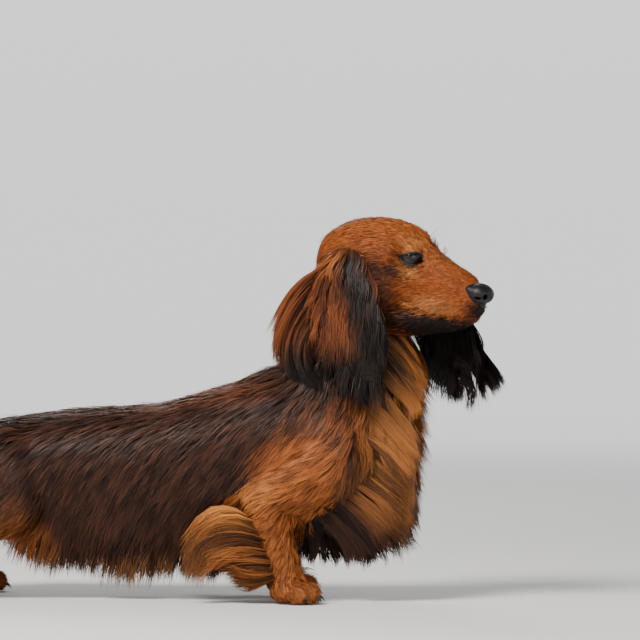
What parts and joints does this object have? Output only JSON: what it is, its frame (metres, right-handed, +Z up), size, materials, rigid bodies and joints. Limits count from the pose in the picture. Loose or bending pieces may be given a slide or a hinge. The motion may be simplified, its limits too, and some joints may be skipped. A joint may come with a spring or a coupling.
{
  "type": "long-haired dachshund",
  "caption": "Still life-size model of a standing long-haired dachshund, head turned to its right, with hanging feathered ears, chest ruff, leg feathers, belly fringe and a plumed tail.",
  "frame": {"origin": "centre of the bounding box in X and Y, at the level of the soles", "axes": "+X along the back towards the head, +Y to the animal's left, +Z up"},
  "size_m": [0.8246, 0.1586, 0.3818],
  "materials": {
    "face_coat": "short smooth fur",
    "body_coat": "long glossy fur",
    "leg_coat": "feathered fur",
    "ear_coat": "long silky fur",
    "tail_coat": "long plumed fur",
    "nose_leather": "moist bare skin",
    "eye": "wet and clear"
  },
  "bodies": {
    "root": {"head": "face_coat", "lower_jaw": "face_coat", "nose": "nose_leather", "eye_right": "eye", "eye_left": "eye", "ear_right": "ear_coat", "ear_left": "ear_coat", "neck": "body_coat", "torso": "body_coat", "foreleg_right": "leg_coat", "foreleg_left": "leg_coat", "hindleg_right": "leg_coat", "hindleg_left": "leg_coat", "tail": "tail_coat"}
  },
  "joints": []
}
